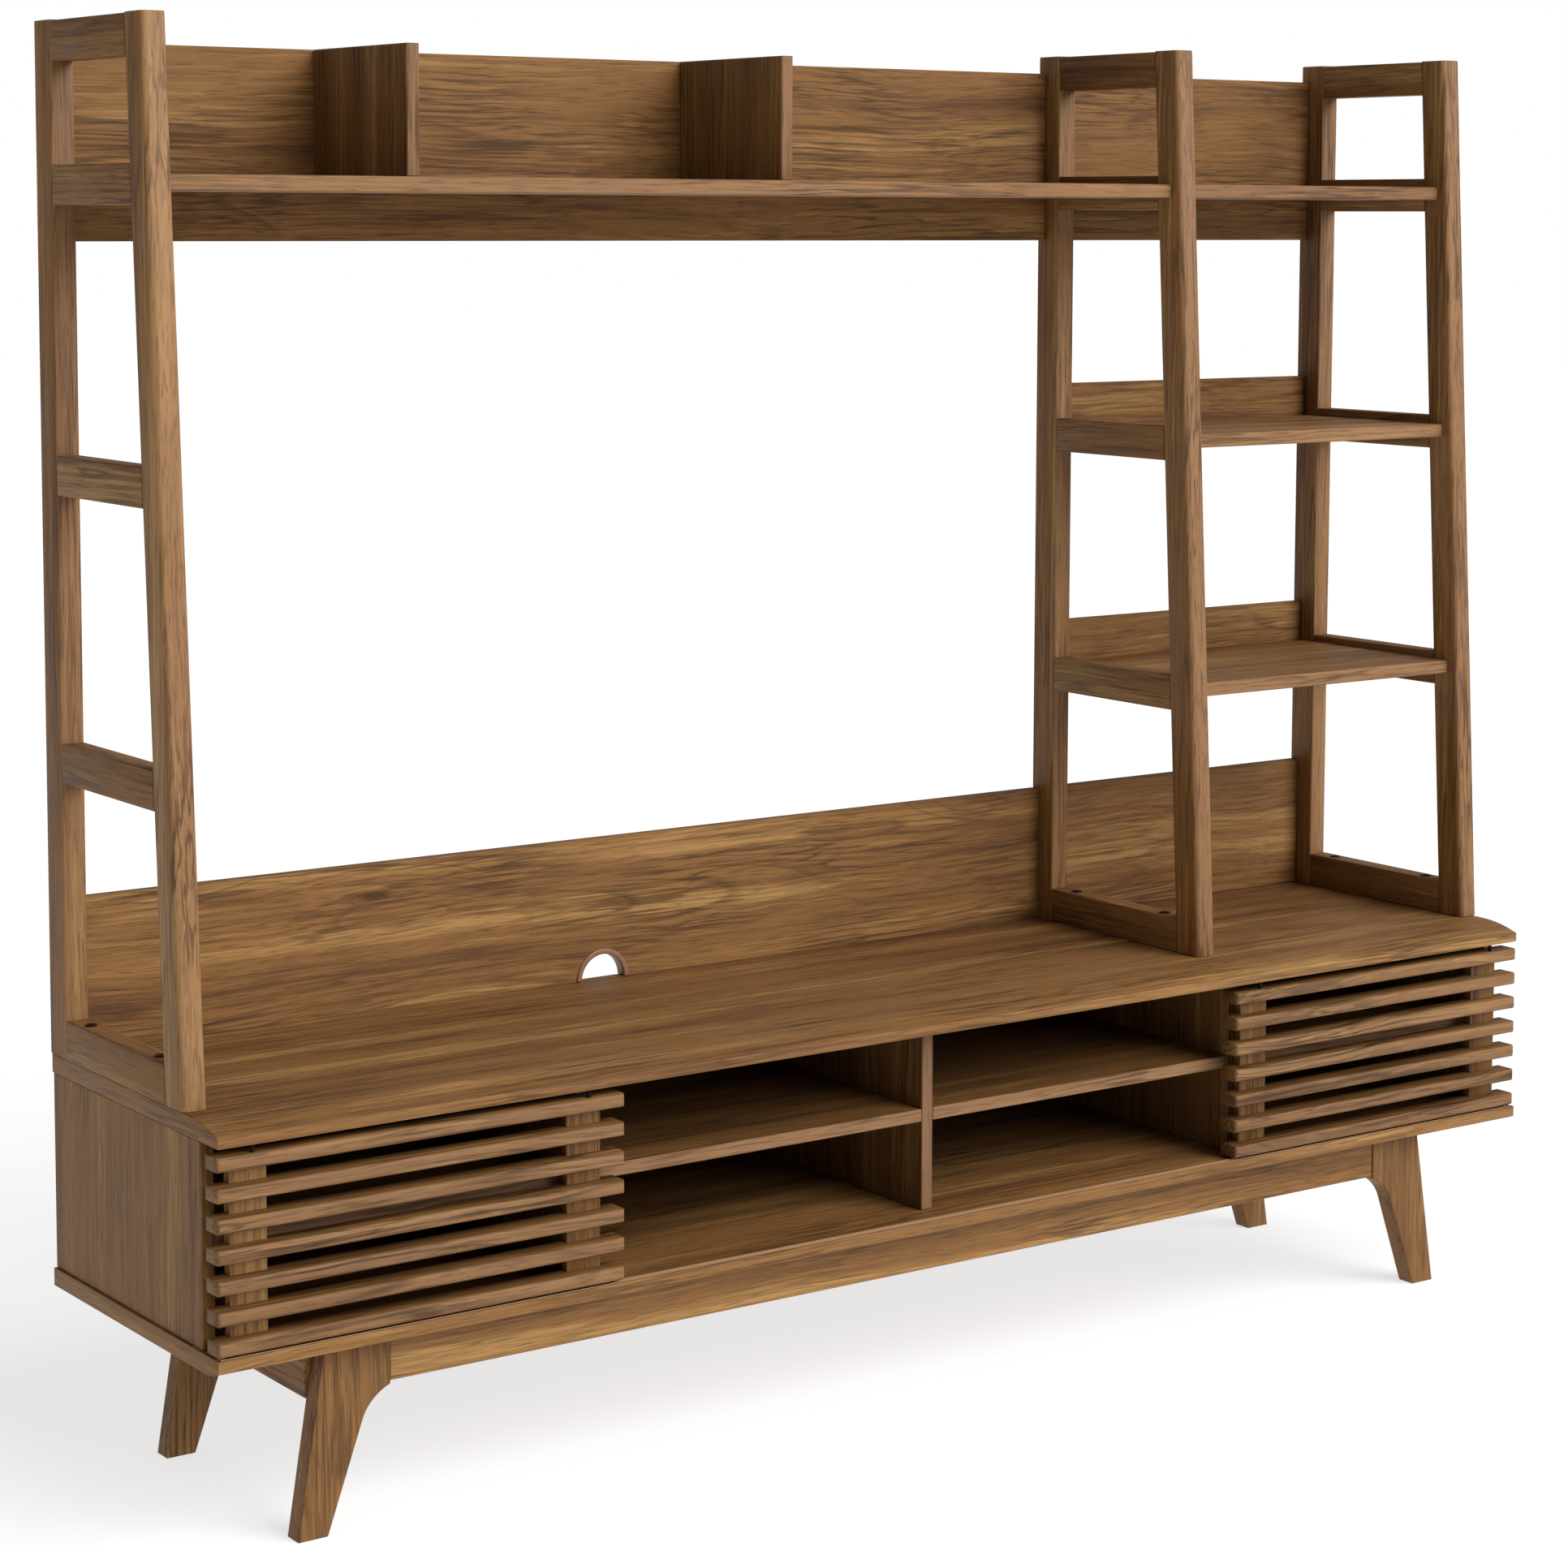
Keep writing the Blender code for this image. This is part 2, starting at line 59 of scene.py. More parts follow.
# The long boards' curves, as steps and as the power that the thinning follows.
CURVE_STEPS = 14
CURVE_POWER = 2.3
EDGE_BAND_FRONTS = 0.52        # how far a banded front edge goes towards the edge band's colour
# How far the posts' and the slats' front faces go towards the edge band's colour: painted light, for
# the light that falls most on their fronts.
POST_FRONT_PAINTED_LIGHT = 0.5
SLAT_FRONT_PAINTED_LIGHT = 0.36
BOARD_FIGURE = 0.25
END_GRAIN = 0.8                # a face counts as an end where its normal's x is beyond this
SMOOTH_ANGLE = math.radians(35.0)
SHARP_ANGLE = 60.0             # degrees: only right angles are eased, not curves

FOOT_WIDE = 34 * MM
HEAD_IN = 31.5 * MM            # the head's outer corner, in from the foot's
ARC_PAST_SEAM = 15.3 * MM      # centre of the leg's curve, past the seam with the apron
LEG_SPARE = 25 * MM            # length past the seam, sawn off again
LEG_CURVE_STEPS = 14

BOLT_RADIUS = 6.1 * MM
BOLT_HIGH = 9.6 * MM
SOCKET_RADIUS = 3.0 * MM
SOCKET_FLOOR = 5 * MM
SOCKET_TOP = 12 * MM           # past the head, so that the socket opens cleanly
PAST = 5 * MM                  # a cutting tool's length beyond the face it goes through

STILE_END = 4 * MM             # the stile's ends, in from the slats' outer faces
PIN_IN = 1 * MM                # how deep a guide pin is set in its slat
PIN_BACK = 6.5 * MM            # a guide pin's axis, behind the slats' fronts

RING_WALL = 5.7 * MM
RING_BEDDED = 0.6 * MM         # the ring sits that far in the panel, so that no gap shows
RING_STEPS = 36

FLOOR_RADIUS = 30.0
FLOOR_GLOW = 0.68
ROOM_LIGHT = 0.35
KEY_PLACE = (3.0, -4.0, 5.0)
KEY_ENERGY = 3.7
KEY_SPREAD = math.radians(50.0)
KEY_DIRECTION = Vector((-0.37, 0.74, -0.56))

CAMERA_PLACE = (-2.4212, -3.3016, 1.3262)
CAMERA_YAW, CAMERA_PITCH, CAMERA_ROLL = 0.6145, -0.0958, 0.0031
CAMERA_LENS = 82.643
CAMERA_SENSOR = 36.0
CAMERA_SHIFT = -0.14

# How each wood piece was cut: its grain's direction, how far its pattern is shifted, and 1 where its
# front edge has a band of paler wood, else 0.
CASE_WOOD = {
    "left_side_panel": ("Z", 0.31, 0.0),
    "right_side_panel": ("Z", 1.73, 0.0),
    "left_partition": ("Z", 2.41, 1.0),
    "right_partition": ("Z", 3.07, 1.0),
    "centre_divider": ("Z", 4.49, 1.0),
    "left_door_bay_shelf": ("X", 5.13, 1.0),
    "right_door_bay_shelf": ("X", 5.87, 1.0),
    "left_open_bay_shelf": ("X", 6.29, 1.0),
    "right_open_bay_shelf": ("X", 6.29, 1.0),
    "front_apron": ("X", 7.31, 0.0),
    "rear_apron": ("X", 7.93, 0.0),
    "left_side_rail": ("Y", 8.11, 0.0),
    "right_side_rail": ("Y", 8.63, 0.0),
}
SHELF_WOOD = {
    "left_top_shelf": ("X", 9.17, 1.0),
    "right_top_shelf": ("X", 9.71, 1.0),
    "right_middle_shelf": ("X", 10.37, 1.0),
    "right_lower_shelf": ("X", 10.93, 1.0),
    "left_cubby_divider": ("Z", 11.59, 1.0),
    "right_cubby_divider": ("Z", 12.23, 1.0),
}
PANEL_WOOD = {
    "left_upper_back_panel": ("X", 13.07, 0.0),
    "right_upper_back_panel": ("X", 13.61, 0.0),
    "left_lower_back_panel": ("X", 14.29, 0.0),
    "right_lower_back_panel": ("X", 14.83, 0.0),
    "middle_shelf_upstand": ("X", 15.41, 0.0),
    "lower_shelf_upstand": ("X", 15.97, 0.0),
}


def linear(code):
    """Linear red, green and blue of an sRGB hex colour."""
    parts = [int(code[i:i + 2], 16) / 255 for i in (1, 3, 5)]
    return tuple(p / 12.92 if p <= 0.04045 else ((p + 0.055) / 1.055) ** 2.4 for p in parts)


def length(name, description, default):
    return bpy.props.FloatProperty(
        name=name, description=description, default=default,
        min=0.0, subtype="DISTANCE", unit="LENGTH",
    )


def colour(name, description, code):
    return bpy.props.FloatVectorProperty(
        name=name, description=description, default=linear(code),
        size=3, min=0.0, max=1.0, subtype="COLOR",
    )


class CabinetSizes(bpy.types.PropertyGroup):
    """Sizes that shape the fine parts of the cabinet."""

    board_ease: length("Board ease", "Rounding of the long boards' edges", 1.0 * MM)
    bottom_lip: length("Bottom lip", "Thickness of the bottom board at its front edge", 12.5 * MM)
    bottom_curve: length("Bottom curve", "Depth over which the bottom board thins", 30 * MM)
    top_lip: length("Top lip", "Thickness of the top board at its front edge", 10.6 * MM)
    top_curve: length("Top curve", "Depth over which the top board thins", 65 * MM)
    post_deep: length("Post depth", "Depth of a ladder's post", 40 * MM)
    post_round: length("Post rounding", "Rounding of the front posts' front left edges", 7 * MM)
    post_right: length("Post right edge", "Rounding of the front posts' front right edges", 3 * MM)
    post_ease: length("Post ease", "Rounding of the posts' other long edges", 2.5 * MM)
    rail_ease: length("Rail ease", "Rounding of the crosspieces' edges", 1.4 * MM)
    slat_high: length("Slat height", "Height of a door slat", 15 * MM)
    slat_deep: length("Slat depth", "Depth of a door slat", 27 * MM)
    slat_pitch: length("Slat pitch", "Height from one slat to the next", 30.8 * MM)
    slat_round: length("Slat rounding", "Rounding of the slats' front edges", 4.4 * MM)
    slat_count: bpy.props.IntProperty(name="Slats", description="Slats in a door", default=7, min=1)
    stile_in: length("Stile inset", "Stile's distance from the door's end", 20.5 * MM)
    stile_wide: length("Stile width", "Width of a door stile", 41.5 * MM)
    stile_front: length("Stile setback", "Stile's front face, behind the slats' fronts", 17 * MM)
    stile_back: length("Stile back", "Stile's rear face, behind the slats' fronts", 28.5 * MM)
    pin_radius: length("Pin radius", "Radius of a door's guide pin", 2.25 * MM)
    leg_round: length("Leg curve", "Radius of the curve where a leg meets the apron", 50 * MM)
    leg_ease: length("Leg ease", "Rounding of the legs' edges", 2.2 * MM)
    bore_radius: length("Bore radius", "Radius of the bolt holes in the bottom rails", 6.6 * MM)
    bore_deep: length("Bore depth", "Depth of the bolt holes in the bottom rails", 8 * MM)
    bore_from_post: length("Bore distance", "Distance of a bolt hole from the post", 34 * MM)


class CabinetColours(bpy.types.PropertyGroup):
    """Colours of the finishes."""

    light: colour("Light wood", "Palest early wood", "#9E7847")
    middle: colour("Mid wood", "Usual wood colour", "#7F5931")
    dark: colour("Dark wood", "Darkest broad bands", "#5E3E23")
    line: colour("Grain line", "Late wood and pores", "#35200E")
    # Also the colour that the front faces of posts and slats are drawn towards, as painted light.
    edge_band_and_lit_front: colour("Edge band", "Front edges of shelves and dividers", "#8E6B4E")
    back: colour("Back board", "Inside of the case's back", "#2C1C0F")
    track: colour("Track", "Coated door track", "#A5805E")
    nylon: colour("Nylon", "Runners and guide pins", "#120E0A")
    steel: colour("Steel", "Blackened bolts", "#1D1B1A")
    grommet: colour("Grommet", "Trim ring of the cable hole", "#7E583C")
    floor: colour("Floor", "Studio floor", "#A6A6A6")


def add_node(tree, kind, settings=None, inputs=None):
    """Add a node: settings go on it, and an input takes a value or the socket that feeds it."""
    node = tree.nodes.new(kind)
    for name, value in (settings or {}).items():
        setattr(node, name, value)
    for name, value in (inputs or {}).items():
        if isinstance(value, bpy.types.NodeSocket):
            tree.links.new(value, node.inputs[name])
        else:
            node.inputs[name].default_value = value
    return node


def new_material(name):
    """A material with an empty tree but for its shader and output."""
    material = bpy.data.materials.new(name)
    material.use_nodes = True
    return material, material.node_tree, material.node_tree.nodes["Principled BSDF"]


def ramp(tree, factor, stops):
    """Colour ramp with its stops given as (position, colour)."""
    node = add_node(tree, "ShaderNodeValToRGB", inputs={"Fac": factor})
    elements = node.color_ramp.elements
    while len(elements) < len(stops):
        elements.new(0.5)
    for element, (position, shade) in zip(elements, stops):
        element.position = position
        element.color = (*shade, 1.0)
    return node.outputs["Color"]


def grey(value):
    return (value, value, value)


def stretched(along, run, across):
    """Scale of a pattern, in repeats a metre, along the grain and across it."""
    return tuple(run if axis == along else across for axis in "XYZ")


def math_node(tree, operation, first, second=0.0):
    return add_node(
        tree, "ShaderNodeMath", {"operation": operation}, {0: first, 1: second}
    ).outputs[0]


def vector_node(tree, operation, first, second):
    return add_node(
        tree, "ShaderNodeVectorMath", {"operation": operation}, {0: first, 1: second}
    ).outputs[0]


def mix(tree, factor, first, second):
    node = add_node(tree, "ShaderNodeMix", {"data_type": "RGBA"})
    for socket, value in ((0, factor), (6, first), (7, second)):
        if isinstance(value, bpy.types.NodeSocket):
            tree.links.new(value, node.inputs[socket])
        else:
            node.inputs[socket].default_value = value if socket == 0 else (*value, 1.0)
    return node.outputs[2]


def wood(name, along, shift, tone=1.0, figure=0.0, front_band_and_light=0.0):
    """Walnut-toned veneer and solid wood: sliced or sawn, sanded and given a matt clear coat.

    The eye sees soft bands of tone 25 to 60 mm wide, streaks 3 to 6 mm wide, thin dark late wood
    lines that wander, and short pore dashes. Figured wood also has nested arches and small knots.
    Late wood lines are drawn coarser than real ones. So are pores, which are 0.2 mm wide and are
    drawn about 1 mm wide, so that they show. Faces that look to the front go towards the edge band's
    colour by front_band_and_light, from 0 to 1: on edge bands that is their own paler wood, and on
    slats and posts it is painted light, for the light that falls most on their fronts.
    """
    shades = bpy.context.scene.cabinet_colours
    material, tree, shader = new_material(name)
    place = add_node(tree, "ShaderNodeTexCoord").outputs["Object"]
    moved = tuple(shift * (1.0 if axis == along else 0.37) for axis in "XYZ")
    cut = add_node(tree, "ShaderNodeMapping", inputs={"Vector": place, "Location": moved}).outputs[0]

    def scaled(source, long, wide):
        """Coordinates in which one pattern repeat is long by wide, in millimetres."""
        scale = tuple(1000.0 / (long if axis == along else wide) for axis in "XYZ")
        return add_node(tree, "ShaderNodeMapping", inputs={"Vector": source, "Scale": scale}).outputs[0]

    def pattern(source, long, wide, detail, roughness=0.5):
        inputs = {"Vector": scaled(source, long, wide), "Scale": 1.0, "Detail": detail}
        return add_node(tree, "ShaderNodeTexNoise", inputs={**inputs, "Roughness": roughness})

    def pushed(source, long, wide, amount):
        """Coordinates moved across the grain by up to half an amount, in millimetres."""
        sway = pattern(source, long, wide, 1.0).outputs["Color"]
        centred = vector_node(tree, "SUBTRACT", sway, (0.5, 0.5, 0.5))
        reach = tuple(0.0 if axis == along else amount * MM for axis in "XYZ")
        return vector_node(tree, "ADD", source, vector_node(tree, "MULTIPLY", centred, reach))

    grain = pushed(pushed(cut, 420.0, 190.0, 12.0 + 18.0 * figure), 110.0, 60.0, 5.0)
    bands = pattern(grain, 1100.0, 36.0, 2.0).outputs["Fac"]
    streaks = pattern(grain, 260.0, 4.6, 3.0, 0.62).outputs["Fac"]
    lines = pattern(grain, 300.0, 7.5, 2.0, 0.55).outputs["Fac"]
    pores = pattern(grain, 40.0, 1.5, 1.0).outputs["Fac"]
    patches = pattern(cut, 230.0, 60.0, 1.0).outputs["Fac"]

    blend = math_node(tree, "ADD", math_node(tree, "MULTIPLY", bands, 0.58),
                      math_node(tree, "MULTIPLY", streaks, 0.42))
    stops = [(0.35, shades.dark), (0.46, shades.middle), (0.53, shades.middle), (0.64, shades.light)]
    body = ramp(tree, blend, [(at, tuple(c * tone for c in shade)) for at, shade in stops])
    # Faces that look to the front go towards the edge band's colour: real paler wood on edge bands,
    # painted light on the fronts of posts and slats.
    if front_band_and_light:
        facing = add_node(tree, "ShaderNodeSeparateXYZ",
                          inputs={"Vector": add_node(tree, "ShaderNodeNewGeometry").outputs["Normal"]})
        in_front = math_node(tree, "LESS_THAN", facing.outputs["Y"], -0.6)
        body = mix(tree, math_node(tree, "MULTIPLY", in_front, front_band_and_light), body, tuple(shades.edge_band_and_lit_front))
    off_line = math_node(tree, "ABSOLUTE", math_node(tree, "SUBTRACT", lines, 0.5))
    thin = ramp(tree, off_line, [(0.0, grey(1.0)), (0.025, grey(0.75)), (0.06, grey(0.0))])
    there = ramp(tree, patches, [(0.38, grey(0.15)), (0.62, grey(1.0))])
    late = math_node(tree, "MULTIPLY", math_node(tree, "MULTIPLY", thin, there), 0.68)
    body = mix(tree, late, body, tuple(shades.line))
    if figure:
        arches = pattern(grain, 1500.0, 110.0, 1.0, 0.45).outputs["Fac"]
        spots = add_node(tree, "ShaderNodeTexVoronoi", {"feature": "F1"},
                         {"Vector": scaled(cut, 760.0, 175.0), "Scale": 1.0}).outputs["Distance"]
        swell = ramp(tree, spots, [(0.0, grey(0.30)), (0.06, grey(0.14)), (0.2, grey(0.0))])
        heights = math_node(tree, "MULTIPLY", math_node(tree, "ADD", arches, swell), 17.0)
        rings = math_node(tree, "FRACT", heights)
        stops = [(0.0, grey(0.0)), (0.70, grey(0.05)), (0.92, grey(1.0)), (1.0, grey(0.0))]
        late = math_node(tree, "MULTIPLY", math_node(tree, "MULTIPLY", ramp(tree, rings, stops), there),
                         0.5 * figure)
        body = mix(tree, late, body, tuple(shades.line))
        knot = ramp(tree, spots, [(0.012, grey(0.8)), (0.04, grey(0.0))])
        body = mix(tree, knot, body, tuple(shades.line))
    dashes = ramp(tree, pores, [(0.54, grey(0.0)), (0.68, grey(1.0))])
    body = mix(tree, math_node(tree, "MULTIPLY", dashes, 0.4), body, tuple(shades.line))
    tree.links.new(body, shader.inputs["Base Color"])
    rough = math_node(tree, "MULTIPLY_ADD", streaks, 0.2)
    rough.node.inputs[2].default_value = 0.45
    tree.links.new(rough, shader.inputs["Roughness"])
    relief = math_node(tree, "SUBTRACT", math_node(tree, "MULTIPLY", streaks, 0.5), dashes)
    bump = add_node(
        tree, "ShaderNodeBump", inputs={"Strength": 0.25, "Distance": 0.12 * MM, "Height": relief}
    )
    tree.links.new(bump.outputs[0], shader.inputs["Normal"])
    shader.inputs["IOR"].default_value = 1.5
    shader.inputs["Specular IOR Level"].default_value = 0.2
    return material


def plain(name, shade, roughness, metallic, run, depth, along="X", stretch=1.0, gloss=0.5):
    """A moulded, rolled or drawn finish: one colour with a slight change of tone and a fine relief."""
    material, tree, shader = new_material(name)
    place = add_node(tree, "ShaderNodeTexCoord").outputs["Object"]
    scale = stretched(along, run * stretch, run)
    scaled = add_node(tree, "ShaderNodeMapping", inputs={"Vector": place, "Scale": scale}).outputs[0]
    grit = add_node(
        tree, "ShaderNodeTexNoise", inputs={"Vector": scaled, "Scale": 1.0, "Detail": 3.0}
    ).outputs["Fac"]
    low = tuple(c * 0.86 for c in shade)
    high = tuple(min(c * 1.12, 1.0) for c in shade)
    tree.links.new(ramp(tree, grit, [(0.3, low), (0.7, high)]), shader.inputs["Base Color"])
    spread = math_node(tree, "MULTIPLY_ADD", grit, 0.16)
    spread.node.inputs[2].default_value = roughness - 0.08
    tree.links.new(spread, shader.inputs["Roughness"])
    bump = add_node(
        tree, "ShaderNodeBump", inputs={"Strength": 0.3, "Distance": depth, "Height": grit}
    )
    tree.links.new(bump.outputs[0], shader.inputs["Normal"])
    shader.inputs["Metallic"].default_value = metallic
    shader.inputs["Specular IOR Level"].default_value = gloss
    return material


def deselect():
    if bpy.context.mode != "OBJECT":
        bpy.ops.object.mode_set(mode="OBJECT")
    bpy.ops.object.select_all(action="DESELECT")


def make_active(obj):
    deselect()
    obj.select_set(True)
    bpy.context.view_layer.objects.active = obj


def apply_place(obj):
    make_active(obj)
    bpy.ops.object.transform_apply(location=True, rotation=True, scale=True)


def block(name, low, high):
    """Rough-cut block between two corners."""
    low, high = Vector(low), Vector(high)
    deselect()
    bpy.ops.mesh.primitive_cube_add(size=1.0, location=(low + high) / 2)
    obj = bpy.context.object
    obj.name = name
    obj.scale = high - low
    apply_place(obj)
    return obj


def rod(name, radius, low, high, sides):
    """Turned rod between two heights: low and high are the ends of its upright axis."""
    deselect()
    bpy.ops.mesh.primitive_cylinder_add(
        vertices=sides, radius=radius, depth=high[2] - low[2], location=(Vector(low) + Vector(high)) / 2
    )
    obj = bpy.context.object
    obj.name = name
    apply_place(obj)
    return obj


def pick(obj, kind, test):
    """Go to edit mode with only the vertices, edges or faces that pass a test selected."""
    make_active(obj)
    bpy.ops.object.mode_set(mode="EDIT")
    bpy.ops.mesh.select_mode(type=kind)
    bpy.ops.mesh.select_all(action="DESELECT")
    work = bmesh.from_edit_mesh(obj.data)
    items = {"VERT": work.verts, "EDGE": work.edges, "FACE": work.faces}[kind]
    found = 0
    for item in items:
        if test(item):
            item.select_set(True)
            found += 1
    work.select_flush_mode()
    bmesh.update_edit_mesh(obj.data)
    if not found:
        raise RuntimeError(f"{obj.name}: nothing to shape was found")


def move(obj, test, step):
    """Move the vertices that pass a test."""
    pick(obj, "VERT", test)
    bpy.ops.transform.translate(value=step)
    bpy.ops.object.mode_set(mode="OBJECT")


def round_off(obj, test, radius, segments):
    """Round the edges that pass a test."""
    pick(obj, "EDGE", test)
    bpy.ops.mesh.bevel(offset=radius, offset_type="OFFSET", segments=segments, affect="EDGES")
    bpy.ops.object.mode_set(mode="OBJECT")


def slice_at(obj, point, normal, clear_outer=False):
    """Cut through all faces at a plane, and drop what is past it if asked."""
    pick(obj, "FACE", lambda face: True)
    bpy.ops.mesh.bisect(
        plane_co=point, plane_no=normal, clear_outer=clear_outer, use_fill=clear_outer, threshold=1e-6
    )
    bpy.ops.object.mode_set(mode="OBJECT")


def carve(obj, tool):
    """Cut a tool's shape out of a piece, and put the tool away."""
    make_active(obj)
    cut = obj.modifiers.new("cut", "BOOLEAN")
    cut.operation = "DIFFERENCE"
    cut.solver = "EXACT"
    cut.object = tool
    bpy.ops.object.modifier_apply(modifier=cut.name)
    bpy.data.objects.remove(tool, do_unlink=True)


def ease(obj, width, segments=2, angle=40.0):
    """Round all edges that are still sharp, and shade the curves smooth."""
    make_active(obj)
    bevel = obj.modifiers.new("ease", "BEVEL")
    bevel.width = width
    bevel.segments = segments
    bevel.limit_method = "ANGLE"
    bevel.angle_limit = math.radians(angle)
    bpy.ops.object.modifier_apply(modifier=bevel.name)
    make_active(obj)
    bpy.ops.object.shade_smooth_by_angle(angle=SMOOTH_ANGLE)


def settle(obj, material, body, slot, *nodes):
    """Give a finished piece its material and its body, in place of CAD nodes if any. Its slot is not
    used.
    """
    obj.data.materials.clear()
    obj.data.materials.append(material)
    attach(obj, body)
    if nodes:
        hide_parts(*nodes)


def copy_of(obj, name, step):
    """Copy a finished shape with a mesh of its own, and move it."""
    make_active(obj)
    bpy.ops.object.duplicate(linked=False)
    other = bpy.context.object
    other.name = name
    other.location = step
    apply_place(other)
    return other


def near(value, target, room=1e-5):
    return abs(value - target) < room


def context_size(name):
    return getattr(bpy.context.scene.cabinet_sizes, name)


def upright(edge):
    """True for an edge that runs straight up."""
    a, b = (v.co for v in edge.verts)
    return near(a.x, b.x) and near(a.y, b.y)


def bolt_places(low, high, slope):
    """Depths of the two bolts in a bottom rail."""
    gap = context_size("bore_from_post")
    front = low.y + slope * (high.z - low.z) + gap
    return front, high.y - gap


class CABINET_OT_panels(bpy.types.Operator):
    """Veneer the case's panels, shelves, dividers and back panels"""

    bl_idname = "cabinet.panels"
    bl_label = "Panels and shelves"

    def execute(self, context):
        for pieces in (CASE_WOOD, SHELF_WOOD, PANEL_WOOD):
            for node, (along, shift, banded) in pieces.items():
                figure = 1.0 if pieces is PANEL_WOOD else 0.0
                # The cubby dividers, and the case's banded pieces inside it, are drawn darker: painted
                # shade for the shade inside the case and its cubbies.
                tone = 1.0
                if "cubby" in node:
                    tone = 0.75
                elif banded and pieces is CASE_WOOD:
                    tone = 0.7
                front_band_and_light = EDGE_BAND_FRONTS * banded
                veneer = wood("walnut_veneer_" + node, along, shift, tone, figure, front_band_and_light)
                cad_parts[node].material_slots[0].material = veneer
        shade = tuple(context.scene.cabinet_colours.back)
        # Hardboard faced with dark paper: flat, dull and nearly plain.
        board = plain("faced_hardboard", shade, 0.7, 0.0, 60.0, 0.05 * MM, "X", 0.08)
        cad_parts["case_back_panel"].material_slots[0].material = board
        return {"FINISHED"}


class CABINET_OT_long_boards(bpy.types.Operator):
    """Make the bench's top and bottom boards, each thinned by a curve at the front and grooved"""

    bl_idname = "cabinet.long_boards"
    bl_label = "Long boards"

    def execute(self, context):
        sizes = context.scene.cabinet_sizes
        self.make("bottom_board", "lower_track", sizes.bottom_lip, sizes.bottom_curve, -1, 17.0)
        self.make("top_board", "upper_track", sizes.top_lip, sizes.top_curve, 1, 18.4)
        return {"FINISHED"}

    def make(self, node, track, lip, reach, side, shift):
        """side is 1 where the upper face is the curved one, and -1 where the lower face is."""
        low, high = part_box(node)
        board = block(node + "_solid", low, high)
        fall = high.z - low.z - lip
        curved = high.z if side > 0 else low.z
        for row in range(CURVE_STEPS, 0, -1):
            slice_at(board, (0.0, low.y + reach * row / CURVE_STEPS, 0.0), (0.0, 1.0, 0.0))
        for row in range(CURVE_STEPS):
            depth = reach * row / CURVE_STEPS
            drop = fall * (1.0 - row / CURVE_STEPS) ** CURVE_POWER
            place = low.y + depth
            move(
                board,
                lambda v: near(v.co.y, place, 1e-4) and near(v.co.z, curved),
                (0.0, 0.0, -side * drop),
            )
        track_low, track_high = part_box(track)
        slack = Vector((0.3 * MM, 0.3 * MM, 0.0))
        outwards = Vector((0.0, 0.0, PAST))
        if side > 0:
            tool = block("groove", track_low - slack - outwards, track_high + slack)
        else:
            tool = block("groove", track_low - slack, track_high + slack + outwards)
        carve(board, tool)
        ease(board, context_size("board_ease"), 3)
        veneer = wood("walnut_board_" + node, "X", shift, figure=BOARD_FIGURE)
        settle(board, veneer, "cabinet", "case_wood", node)
        board.data.materials.append(wood("walnut_edge_band_" + node, "Y", shift))
        for face in board.data.polygons:
            if abs(face.normal.x) > END_GRAIN:
                face.material_index = 1


class CABINET_OT_legs(bpy.types.Operator):
    """Make the four splayed legs, straight outside and curved into the apron inside"""

    bl_idname = "cabinet.legs"
    bl_label = "Legs"

    def execute(self, context):
        for index, (row, side) in enumerate((r, s) for r in ("front", "rear") for s in SIDES):
            self.make(f"{row}_{side}_leg", side == "right", 20.3 + 1.37 * index)
        return {"FINISHED"}

    def make(self, node, right, shift):
        sizes = bpy.context.scene.cabinet_sizes
        low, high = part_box(node)
        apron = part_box("front_apron")[0].z
        facing = -1.0 if right else 1.0
        outer = high.x if right else low.x
        seam = low.x if right else high.x
        arc_centre = abs(seam - outer) + ARC_PAST_SEAM
        across = arc_centre - FOOT_WIDE
        up = apron - sizes.leg_round
        lean = math.atan2(across, up) - math.asin(sizes.leg_round / math.hypot(across, up))
        corner = FOOT_WIDE + apron * math.tan(lean)

        def x(distance):
            return outer + facing * distance

        ends = sorted((x(0.0), x(corner)))
        leg = block(node + "_solid", (ends[0], low.y, low.z), (ends[1], high.y, high.z))
        slice_at(leg, (0.0, 0.0, apron), (0.0, 0.0, 1.0))
        pick(leg, "FACE", lambda f: near(f.calc_center_median().x, x(corner)) and
             f.calc_center_median().z > apron)
        reach = abs(seam - outer) + LEG_SPARE - corner
        bpy.ops.mesh.extrude_region_move(TRANSFORM_OT_translate={"value": (facing * reach, 0.0, 0.0)})
        bpy.ops.object.mode_set(mode="OBJECT")
        slope = HEAD_IN / (high.z - low.z)
        move(leg, lambda v: near(v.co.x, x(corner)) and near(v.co.z, low.z),
             (facing * (FOOT_WIDE - corner), 0.0, 0.0))
        for level in (apron, high.z):
            move(leg, lambda v: near(v.co.x, outer) and near(v.co.z, level),
                 (facing * slope * level, 0.0, 0.0))
        turn = math.pi / 2 - lean
        round_off(
            leg,
            lambda e: all(near(v.co.x, x(corner)) and near(v.co.z, apron) for v in e.verts),
            sizes.leg_round * math.tan(turn / 2),
            LEG_CURVE_STEPS,
        )
        slice_at(leg, (seam, 0.0, 0.0), (facing, 0.0, 0.0), clear_outer=True)
        ease(leg, sizes.leg_ease, 3)
        timber = wood("walnut_solid_" + node, "Z", shift, tone=0.86)
        settle(leg, timber, "cabinet", "frame_wood", node)


